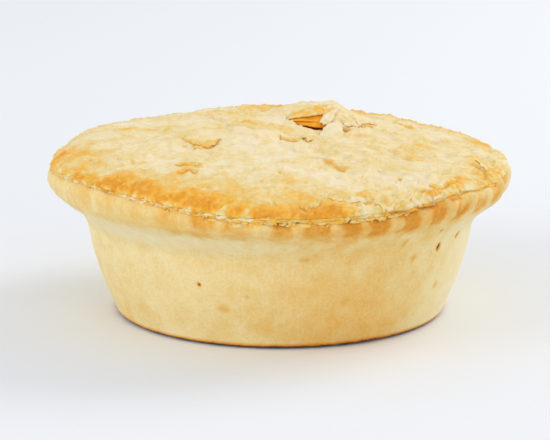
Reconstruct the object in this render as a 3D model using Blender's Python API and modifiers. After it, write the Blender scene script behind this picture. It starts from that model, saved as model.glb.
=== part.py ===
"""A round, single-serve beef pie: a filled shortcrust case with a fluted rim, under a flaky pastry lid.

The pie stands on its flat base with its centre at the origin, +Z up, and the side that faces -Y is its front.
Everything is in metres. A blank of each piece is turned by a Screw modifier. Its points are then moved by the
functions below, which hold the dome, the burst blister, the flutes and the uneven rim.
"""

import math

import bpy
from mathutils import Matrix, Vector, noise

MM = 0.001

# The flutes pressed into the rim from outside: ribs with wider hollows between them.
FLUTE_COUNT = 36
STEPS_PER_FLUTE = 4
STEPS = FLUTE_COUNT * STEPS_PER_FLUTE
FLUTE_DEPTH = 1.5 * MM
FLUTE_FOOT = 30.5 * MM
FLUTE_TOP = 35.0 * MM
FLUTE_STRONGEST = math.radians(-25)  # the side of the rim where the flutes are deepest

# The case, from its base up to the rim.
BASE_RADIUS = 40.0 * MM
CORNER_RADIUS = 1.8 * MM
WALL_FOOT_RADIUS = 42.1 * MM
WALL_TOP_RADIUS = 49.4 * MM
WALL_TOP_HEIGHT = 24.0 * MM
WALL_BULGE = 0.5 * MM
FLARE_TOP_RADIUS = 56.7 * MM
FLARE_TOP_HEIGHT = 31.2 * MM
RIM_RADIUS = 57.6 * MM
RIM_HEIGHT = 32.8 * MM
LIP_RADIUS = 56.9 * MM
LIP_HEIGHT = 34.7 * MM
WALL_RINGS = 4
FLARE_RINGS = 5

# The seam where the lid lies on the filled case, with a hair of air between them.
SEAM_RADIUS = 55.6 * MM
SEAM_EDGE_HEIGHT = 34.6 * MM
SEAM_RISE = 4.4 * MM
SEAM_POWER = 3.0
SEAM_RINGS = (0, 0.4, 0.66, 0.84, 0.95, 1)  # shares of the seam's radius
SEAM_GAP = 0.3 * MM

# The lid: a steep shoulder, taller on the left than on the right, round a low crown.
LID_RADIUS = 56.9 * MM
LID_EDGE_HEIGHT = 35.6 * MM
LID_THINNEST = 0.8 * MM
SHOULDER_RISE = 4.4 * MM
SHOULDER_LEAN = 0.9 * MM
SHOULDER_LOWEST = math.radians(-5)
SHOULDER_POWER = 10
SHOULDER_ROUNDNESS = 0.45
CROWN_RISE = 3.6 * MM
LID_RINGS = 20
EDGE_BAND = 12 * MM  # how far in from its edge the lid is pressed thin and plain
EDGE_RAGS = (2.6 * MM, 0.5 * MM)  # wavelength and height of the lid's torn edge

# The blister that has burst in the lid: it rises gently from behind and breaks off at the front.
BLISTER_X = 11.0 * MM
BLISTER_Y = 21.0 * MM
BLISTER_HEIGHT = 3.8 * MM
BLISTER_LEFT = 18.0 * MM
BLISTER_RIGHT = 9.5 * MM
BLISTER_BACK = 20.0 * MM
BLISTER_FRONT = 6.5 * MM

# Wide swellings and sags of the lid: x, y, radius and height.
SWELLINGS = (
    (-8 * MM, 40 * MM, 20 * MM, 0.8 * MM),
    (-22 * MM, 20 * MM, 16 * MM, 0.6 * MM),
    (-34 * MM, -14 * MM, 12 * MM, 0.7 * MM),
    (-19 * MM, -6 * MM, 6 * MM, 0.8 * MM),
    (-2 * MM, -32 * MM, 12 * MM, 0.5 * MM),
    (23 * MM, -27 * MM, 10 * MM, -0.7 * MM),
    (31 * MM, 12 * MM, 12 * MM, 0.5 * MM),
    (38 * MM, -28 * MM, 6 * MM, 0.8 * MM),
    (47 * MM, -10 * MM, 5 * MM, 0.7 * MM),
)
COARSE_BUMPS = (13 * MM, 0.6 * MM)  # wavelength and height
FINE_BUMPS = (5.5 * MM, 0.45 * MM)
WALL_BUMPS = (22 * MM, 0.3 * MM)

# Where the rim stands higher and the lid's edge draws back from it: heading in degrees, half width, lift, draw-back.
RIM_LIFTS = (
    (-148, 34, 1.2 * MM, 1.4 * MM),
    (-37, 18, 1.3 * MM, 2.6 * MM),
    (-8, 14, 0.8 * MM, 1.2 * MM),
    (75, 40, 0.6 * MM, 0.6 * MM),
)

# The mouth of the burst blister, which runs in under its roof.
MOUTH_CENTRE = Vector((6.5 * MM, 14.5 * MM, 43.6 * MM))
MOUTH_RADII = Vector((7.5 * MM, 7.0 * MM, 1.7 * MM))
MOUTH_TURN = math.radians(-14)

# Splits in the lid: x, y, heading in degrees and length. Each leans back under the flake behind it.
SPLIT_WIDTH = 0.9 * MM
SPLIT_DEPTH = 2.0 * MM
SPLIT_LEAN = math.radians(35)
SPLITS = (
    (-17.8 * MM, -12.5 * MM, 3, 7.0 * MM),
    (12.7 * MM, -26.0 * MM, -50, 9.0 * MM),
    (21.5 * MM, 23.5 * MM, -50, 8.0 * MM),
    (4.5 * MM, -4.0 * MM, -45, 8.0 * MM),
    (-22.5 * MM, -32.5 * MM, -55, 7.5 * MM),
    (36.2 * MM, -42.4 * MM, 44, 5.0 * MM),
    (42.0 * MM, -35.8 * MM, 47, 5.5 * MM),
)

CASE_COLOUR = (0.76, 0.56, 0.27, 1)
LID_COLOUR = (0.80, 0.55, 0.22, 1)


def clear_scene():
    for obj in list(bpy.data.objects):
        bpy.data.objects.remove(obj)


def make_collection(name):
    collection = bpy.data.collections.new(name)
    bpy.context.scene.collection.children.link(collection)
    return collection


def pastry(name, colour, roughness):
    material = bpy.data.materials.new(name)
    material.use_nodes = True
    shader = material.node_tree.nodes["Principled BSDF"]
    shader.inputs["Base Color"].default_value = colour
    shader.inputs["Roughness"].default_value = roughness
    shader.inputs["Metallic"].default_value = 0
    return material


def smooth_step(low, high, value):
    share = min(1, max(0, (value - low) / (high - low)))
    return share * share * (3 - 2 * share)


def blend(a, b, share):
    return a + (b - a) * share


def bumps(point, wavelength, height, seed):
    return height * noise.noise(Vector(point) / wavelength + Vector((seed, -seed, seed)))


def near_heading(angle, heading, half_width):
    """1 at the heading, falling smoothly to 0 at the half width on either side of it, in degrees."""
    away = (math.degrees(angle) - heading + 180) % 360 - 180
    return 1 - smooth_step(0, half_width, abs(away))


def rim_lift(radius, angle):
    lift = sum(lift * near_heading(angle, at, half) for at, half, lift, _ in RIM_LIFTS)
    return lift * smooth_step(36 * MM, SEAM_RADIUS, radius)


def edge_shift(radius, angle):
    """How far the lid's edge, and the seam below it, lies outside its plain circle."""
    back = sum(back * near_heading(angle, at, half) for at, half, _, back in RIM_LIFTS)
    rags = bumps((math.cos(angle) * LID_RADIUS, math.sin(angle) * LID_RADIUS, 0), *EDGE_RAGS, seed=2)
    return (rags - back) * smooth_step(LID_RADIUS - EDGE_BAND, SEAM_RADIUS, radius)


def seam_height(radius, angle):
    crown = SEAM_RISE * (1 - min(1, radius / SEAM_RADIUS) ** SEAM_POWER)
    return SEAM_EDGE_HEIGHT + crown + rim_lift(radius, angle)


def place(point, radius, angle, height):
    point.xyz = (radius * math.cos(angle), radius * math.sin(angle), height)


# The case


def case_profile():
    """(radius, height) down the outer side, from the middle of the seam to the middle of the base."""
    seam = [(SEAM_RADIUS * share, SEAM_EDGE_HEIGHT + SEAM_RISE) for share in SEAM_RINGS]
    lip = [(LIP_RADIUS, LIP_HEIGHT), (RIM_RADIUS, RIM_HEIGHT)]
    flare = []
    for i in range(FLARE_RINGS):
        share = 1 - i / FLARE_RINGS
        radius = blend(WALL_TOP_RADIUS, FLARE_TOP_RADIUS, share**2)
        flare.append((radius, blend(WALL_TOP_HEIGHT, FLARE_TOP_HEIGHT, share)))
    wall = []
    for i in range(WALL_RINGS):
        share = i / WALL_RINGS
        radius = blend(WALL_TOP_RADIUS, WALL_FOOT_RADIUS, share) + WALL_BULGE * math.sin(math.pi * share)
        wall.append((radius, blend(WALL_TOP_HEIGHT, CORNER_RADIUS, share)))
    corner = [
        (WALL_FOOT_RADIUS, CORNER_RADIUS),
        (blend(BASE_RADIUS, WALL_FOOT_RADIUS, 0.65), 0.3 * CORNER_RADIUS),
        (BASE_RADIUS, 0),
        (0, 0),
    ]
    return seam + lip + flare + wall + corner


def flute(angle, height):
    """How far the rim is pressed in at this heading and height. It is 0 on a rib."""
    phase = angle * FLUTE_COUNT / math.tau
    hollow = (0.5 - 0.5 * math.cos(math.tau * phase)) ** 0.7
    uneven = 0.8 + 0.5 * noise.noise(Vector((math.floor(phase) * 1.7, 3.1, 0)))
    side = 0.62 + 0.38 * math.cos(angle - FLUTE_STRONGEST)
    band = smooth_step(FLUTE_FOOT - 3 * MM, FLUTE_FOOT + 2 * MM, height)
    fade = 1 - 0.6 * smooth_step(RIM_HEIGHT, FLUTE_TOP, height)
    return FLUTE_DEPTH * hollow * uneven * side * band * fade


def shape_case(point):
    radius = math.hypot(point.x, point.y)
    angle = math.atan2(point.y, point.x)
    if point.z > LIP_HEIGHT + 1 * MM:
        radius += edge_shift(radius, angle)
        place(point, radius, angle, seam_height(radius, angle))
    elif point.z > 0:
        uneven = bumps(point, *WALL_BUMPS, seed=7) * smooth_step(0, 5 * MM, point.z)
        pressed = flute(angle, point.z)
        lift = rim_lift(SEAM_RADIUS, angle) * smooth_step(25 * MM, LIP_HEIGHT, point.z)
        place(point, radius + uneven - pressed, angle, point.z + lift)


# The lid


def dome_height(radius, angle):
    """The plain lid: its shoulder is lowest on the right."""
    share = min(1, radius / LID_RADIUS)
    rise = SHOULDER_RISE - SHOULDER_LEAN * math.cos(angle - SHOULDER_LOWEST)
    shoulder = rise * (1 - share**SHOULDER_POWER) ** SHOULDER_ROUNDNESS
    return LID_EDGE_HEIGHT + shoulder + CROWN_RISE * (1 - share * share)


def lid_profile():
    """(radius, height) out over the dome, and back under it along the seam to the middle."""
    top = []
    for i in range(LID_RINGS + 1):
        share = i / LID_RINGS
        radius = LID_RADIUS * blend(share, math.sin(share * math.pi / 2), 0.6)
        top.append((radius, dome_height(radius, 0)))
    seam = [(SEAM_RADIUS * share, SEAM_EDGE_HEIGHT) for share in reversed(SEAM_RINGS)]
    return top + seam


def blister(x, y):
    """The height that the burst blister adds."""
    width = BLISTER_RIGHT if x > BLISTER_X else BLISTER_LEFT
    depth = BLISTER_BACK if y > BLISTER_Y else BLISTER_FRONT
    away = math.hypot((x - BLISTER_X) / width, (y - BLISTER_Y) / depth)
    return BLISTER_HEIGHT * (1 - smooth_step(0.35, 1.2, away))


def swellings(x, y):
    total = 0
    for centre_x, centre_y, radius, height in SWELLINGS:
        away = math.hypot(x - centre_x, y - centre_y) / radius
        total += height * math.exp(-away * away)
    return total


def lid_top(x, y, radius, angle):
    relief = blister(x, y) + swellings(x, y)
    relief += bumps((x, y, 0), *COARSE_BUMPS, seed=11) + bumps((x, y, 0), *FINE_BUMPS, seed=23)
    relief *= 1 - 0.6 * smooth_step(LID_RADIUS - EDGE_BAND, LID_RADIUS, radius)
    top = dome_height(radius, angle) + relief + rim_lift(radius, angle)
    return max(top, seam_height(radius, angle) + SEAM_GAP + LID_THINNEST)


def shape_lid(point):
    radius = math.hypot(point.x, point.y)
    angle = math.atan2(point.y, point.x)
    shifted = radius + edge_shift(radius, angle)
    if point.z > SEAM_EDGE_HEIGHT + 0.1 * MM:
        place(point, shifted, angle, lid_top(point.x, point.y, radius, angle))
    else:
        place(point, shifted, angle, seam_height(shifted, angle) + SEAM_GAP)


# Turning, shaping and cutting


def turned(name, profile):
    """A closed blank turned about Z from a profile at +X, as a plain mesh."""
    outline = bpy.data.meshes.new(name + "_outline")
    points = [(radius, 0, height) for radius, height in profile]
    outline.from_pydata(points, [(i, i + 1) for i in range(len(points) - 1)], [])
    blank = bpy.data.objects.new(name + "_blank", outline)
    bpy.context.scene.collection.objects.link(blank)
    screw = blank.modifiers.new("Turn", "SCREW")
    screw.axis = "Z"
    screw.steps = STEPS
    screw.render_steps = STEPS
    screw.use_merge_vertices = True
    screw.merge_threshold = 0.02 * MM
    graph = bpy.context.evaluated_depsgraph_get()
    mesh = bpy.data.meshes.new_from_object(blank.evaluated_get(graph))
    mesh.name = name
    bpy.data.objects.remove(blank)
    return mesh


def make_piece(name, profile, shape, material, collection):
    """Turns the blank, moves each point by the piece's own shape function and shades it smooth."""
    mesh = turned(name, profile)
    for vertex in mesh.vertices:
        shape(vertex.co)
    mesh.materials.clear()
    mesh.materials.append(material)
    mesh.shade_smooth()
    mesh.set_sharp_from_angle(angle=math.radians(50))
    piece = bpy.data.objects.new(name, mesh)
    collection.objects.link(piece)
    return piece


def cut_hollow(piece, name, centre, radii, turn, collection):
    """Cuts an ellipsoid from the piece: its radii are along its own axes, turned about its own centre."""
    bpy.ops.mesh.primitive_uv_sphere_add(segments=16, ring_count=8, radius=1)
    cutter = bpy.context.object
    cutter.name = name
    cutter.data.transform(Matrix.Translation(centre) @ turn @ Matrix.Diagonal((*radii, 1)))
    cutter.hide_render = True
    cutter.display_type = "WIRE"
    for owner in list(cutter.users_collection):
        owner.objects.unlink(cutter)
    collection.objects.link(cutter)
    modifier = piece.modifiers.new(name, "BOOLEAN")
    modifier.operation = "DIFFERENCE"
    modifier.solver = "EXACT"
    modifier.object = cutter


def cut_openings(lid, collection):
    turn = Matrix.Rotation(MOUTH_TURN, 4, "Z")
    cut_hollow(lid, "blister_mouth", MOUTH_CENTRE, MOUTH_RADII, turn, collection)
    for i, (x, y, heading, length) in enumerate(SPLITS, start=1):
        centre = Vector((x, y, lid_top(x, y, math.hypot(x, y), math.atan2(y, x))))
        lean = Matrix.Rotation(SPLIT_LEAN, 4, "X")
        turn = Matrix.Rotation(math.radians(heading), 4, "Z") @ lean
        radii = Vector((length / 2, SPLIT_WIDTH / 2, SPLIT_DEPTH / 2))
        cut_hollow(lid, f"split_{i}", centre, radii, turn, collection)


def main():
    clear_scene()
    pie = make_collection("beef_pie")
    cutters = make_collection("cutters")
    shortcrust = pastry("baked shortcrust", CASE_COLOUR, 0.75)
    flaky = pastry("baked flaky pastry", LID_COLOUR, 0.6)
    make_piece("pastry_case", case_profile(), shape_case, shortcrust, pie)
    lid = make_piece("pastry_lid", lid_profile(), shape_lid, flaky, pie)
    cut_openings(lid, cutters)


main()
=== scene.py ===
import math
import random

import bpy
import numpy as np
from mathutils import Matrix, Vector, noise
from mathutils.bvhtree import BVHTree
from mathutils.kdtree import KDTree


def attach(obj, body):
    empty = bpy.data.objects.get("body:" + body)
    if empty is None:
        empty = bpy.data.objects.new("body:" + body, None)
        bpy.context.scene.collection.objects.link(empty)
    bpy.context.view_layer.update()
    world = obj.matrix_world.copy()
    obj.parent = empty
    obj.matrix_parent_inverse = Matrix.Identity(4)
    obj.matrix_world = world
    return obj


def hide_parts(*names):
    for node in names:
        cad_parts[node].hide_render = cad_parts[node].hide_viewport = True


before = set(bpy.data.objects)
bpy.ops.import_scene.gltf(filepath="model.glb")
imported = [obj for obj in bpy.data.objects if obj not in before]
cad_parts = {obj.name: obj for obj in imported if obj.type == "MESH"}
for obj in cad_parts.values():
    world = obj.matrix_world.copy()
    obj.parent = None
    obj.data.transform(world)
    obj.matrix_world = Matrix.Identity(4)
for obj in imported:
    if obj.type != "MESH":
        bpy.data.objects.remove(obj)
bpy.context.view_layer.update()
mm = 0.001
print("frame loaded:", sorted(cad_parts))


# Small helpers


def hexColour(code):
    channels = [int(code[i : i + 2], 16) / 255 for i in (1, 3, 5)]
    linear = [c / 12.92 if c <= 0.04045 else ((c + 0.055) / 1.055) ** 2.4 for c in channels]
    return (*linear, 1)


def setInputs(tree, node, inputs):
    # an input is a plain value or the output of another node
    for name, value in inputs.items():
        if isinstance(value, bpy.types.NodeSocket):
            tree.links.new(value, node.inputs[name])
        else:
            node.inputs[name].default_value = value


def addNode(tree, kind, settings, inputs):
    node = tree.nodes.new(kind)
    for name, value in settings.items():
        setattr(node, name, value)
    setInputs(tree, node, inputs)
    return node


def deselectAll():
    if bpy.context.mode != "OBJECT":
        bpy.ops.object.mode_set(mode="OBJECT")
    bpy.ops.object.select_all(action="DESELECT")


def selectOnly(piece):
    deselectAll()
    piece.select_set(True)
    bpy.context.view_layer.objects.active = piece


def selectOpenEdge():
    bpy.ops.mesh.select_mode(type="EDGE")
    bpy.ops.mesh.select_all(action="DESELECT")
    bpy.ops.mesh.select_non_manifold(extend=False, use_boundary=True, use_wire=False)


def drawTogether(shares):
    # extrudes the selected open edge inwards, ring by ring, and closes it in the middle
    for share in shares:
        bpy.ops.mesh.extrude_edges_move()
        bpy.ops.transform.resize(value=(share, share, 1))
    bpy.ops.mesh.extrude_edges_move()
    bpy.ops.mesh.merge(type="CENTER")


def faceOutward(piece):
    selectOnly(piece)
    bpy.ops.object.mode_set(mode="EDIT")
    bpy.ops.mesh.select_all(action="SELECT")
    bpy.ops.mesh.normals_make_consistent(inside=False)
    bpy.ops.object.mode_set(mode="OBJECT")
    bpy.ops.object.shade_smooth()


def thicken(piece, thickness, offset, underside=0, rim=0):
    # gives a sheet its thickness; underside and rim say how many slots further their material is
    solidify = piece.modifiers.new("thickness", "SOLIDIFY")
    solidify.thickness = thickness
    solidify.offset = offset
    solidify.material_offset = underside
    solidify.material_offset_rim = rim
    bpy.ops.object.modifier_apply(modifier="thickness")


def joinPieces(pieces, name):
    selectOnly(pieces[0])
    for piece in pieces:
        piece.select_set(True)
    bpy.ops.object.join()
    pieces[0].name = name
    return pieces[0]


def pointsOf(piece):
    flatList = np.empty(len(piece.data.vertices) * 3)
    piece.data.vertices.foreach_get("co", flatList)
    return flatList.reshape(-1, 3)


def setPoints(piece, points):
    piece.data.vertices.foreach_set("co", np.asarray(points, float).reshape(-1))
    piece.data.update()


def roundPoints(angle, radius, height):
    return np.stack([radius * np.cos(angle), radius * np.sin(angle), height], axis=1)


def turnsOf(points):
    # the other way round: the angle and the radius of each point
    return np.arctan2(points[:, 1], points[:, 0]), np.hypot(points[:, 0], points[:, 1])


def addAttributes(piece, **attributes):
    for name, values in attributes.items():
        attribute = piece.data.attributes.new(name, "FLOAT", "POINT")
        attribute.data.foreach_set("value", np.asarray(values, float))


def smoothStep(low, high, value):
    share = np.clip((value - low) / (high - low), 0, 1)
    return share * share * (3 - 2 * share)


def mmStep(low, high, value):
    return smoothStep(low * mm, high * mm, value)


def bell(value, centre, width):
    return np.exp(-(((value - centre) / width) ** 2))


def blend(a, b, share):
    return a + (b - a) * share


def roughen(points, size, height, seed, octaves=1):
    # uneven heights from Blender's own noise: size is the width of one bump
    shift = Vector((seed, -seed, seed))
    return height * np.array([noise.fractal(Vector(p) / size + shift, 1, 2, octaves) for p in points])


def degreesFrom(angle, heading):
    return (np.degrees(angle) - heading + 180) % 360 - 180


def nearHeading(angle, heading, halfWidth):
    return 1 - smoothStep(0, halfWidth, np.abs(degreesFrom(angle, heading)))


def sumNear(angle, rows):
    # adds up what each row brings round its heading: heading, half width, amount
    return sum(amount * nearHeading(angle, heading, half) for heading, half, amount in rows)


def byHeading(angle, table):
    # a value that changes round the pie, from headings in degrees
    headings, values = zip(*table)
    return np.interp(np.degrees(angle), headings, values, period=360)


def roundSpot(x, y, centreX, centreY, reach):
    # 1 in the middle of a round place that is given in mm, and fading outwards
    return bell(np.hypot(x - centreX * mm, y - centreY * mm), 0, reach * mm)


def awayFromLine(x, y, line):
    # distance from a bent line, on which side, positive to its left, and how far along it
    best = np.full_like(x, 1.0)
    side = np.zeros_like(x)
    along = np.zeros_like(x)
    for i, ((ax, ay), (bx, by)) in enumerate(zip(line, line[1:])):
        dx, dy = bx - ax, by - ay
        share = np.clip(((x - ax) * dx + (y - ay) * dy) / (dx * dx + dy * dy), 0, 1)
        away = np.hypot(x - ax - share * dx, y - ay - share * dy)
        nearer = away < best
        cross = dx * (y - ay) - dy * (x - ax)
        side = np.where(nearer, np.sign(cross), side)
        along = np.where(nearer, (i + share) / (len(line) - 1), along)
        best = np.where(nearer, away, best)
    return best, side, along


def lengthAlong(radius, height):
    return np.concatenate([[0], np.cumsum(np.hypot(np.diff(radius), np.diff(height)))])


# The pie's plain form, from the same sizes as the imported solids

pieForm = {
    "seamRadius": 55.6 * mm,
    "seamEdgeHeight": 34.6 * mm,
    "seamRise": 4.4 * mm,
    "seamPower": 3,
    "seamGap": 0.1 * mm,
    "lidRadius": 56.9 * mm,
    "edgeBand": 12 * mm,
    "liftInner": 36 * mm,  # the rim's lift fades out inwards down to this radius
    # where the rim stands higher, and where the lid draws back: heading, half width, amount
    "rimLifts": ((-142, 52, 3 * mm), (-40, 26, 1.15 * mm), (-8, 16, 1.2 * mm), (75, 60, 1.6 * mm)),
    "drawBacks": ((-142, 52, 0.4 * mm), (-40, 26, 2 * mm), (-8, 16, 0.6 * mm), (75, 60, 0.8 * mm)),
    "topLift": 0.3,  # how much of the lift reaches the top of the lid
    # where the rim stands up outside the lid's edge: heading, half width, height
    "collars": ((-42, 22, 0.8 * mm), (-12, 22, 1.8 * mm), (-145, 45, 0.5 * mm)),
    "collarInner": 54.2 * mm,
    "collarOuter": 55.2 * mm,
}


# with no radius given, the next two are those of the rim


def rimLift(angle, radius=pieForm["seamRadius"]):
    reach = smoothStep(pieForm["liftInner"], pieForm["seamRadius"], radius)
    return sumNear(angle, pieForm["rimLifts"]) * reach


def edgeDrawBack(angle, radius=pieForm["seamRadius"]):
    reach = smoothStep(pieForm["lidRadius"] - pieForm["edgeBand"], pieForm["seamRadius"], radius)
    return sumNear(angle, pieForm["drawBacks"]) * reach


def seamHeight(radius):
    share = np.minimum(1, radius / pieForm["seamRadius"])
    return pieForm["seamEdgeHeight"] + pieForm["seamRise"] * (1 - share ** pieForm["seamPower"])


def collar(angle, radius):
    # the raised bead of the rim that stands outside the lid's edge
    outside = smoothStep(pieForm["collarInner"], pieForm["collarOuter"], radius + edgeDrawBack(angle))
    return sumNear(angle, pieForm["collars"]) * outside


# The lid

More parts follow.
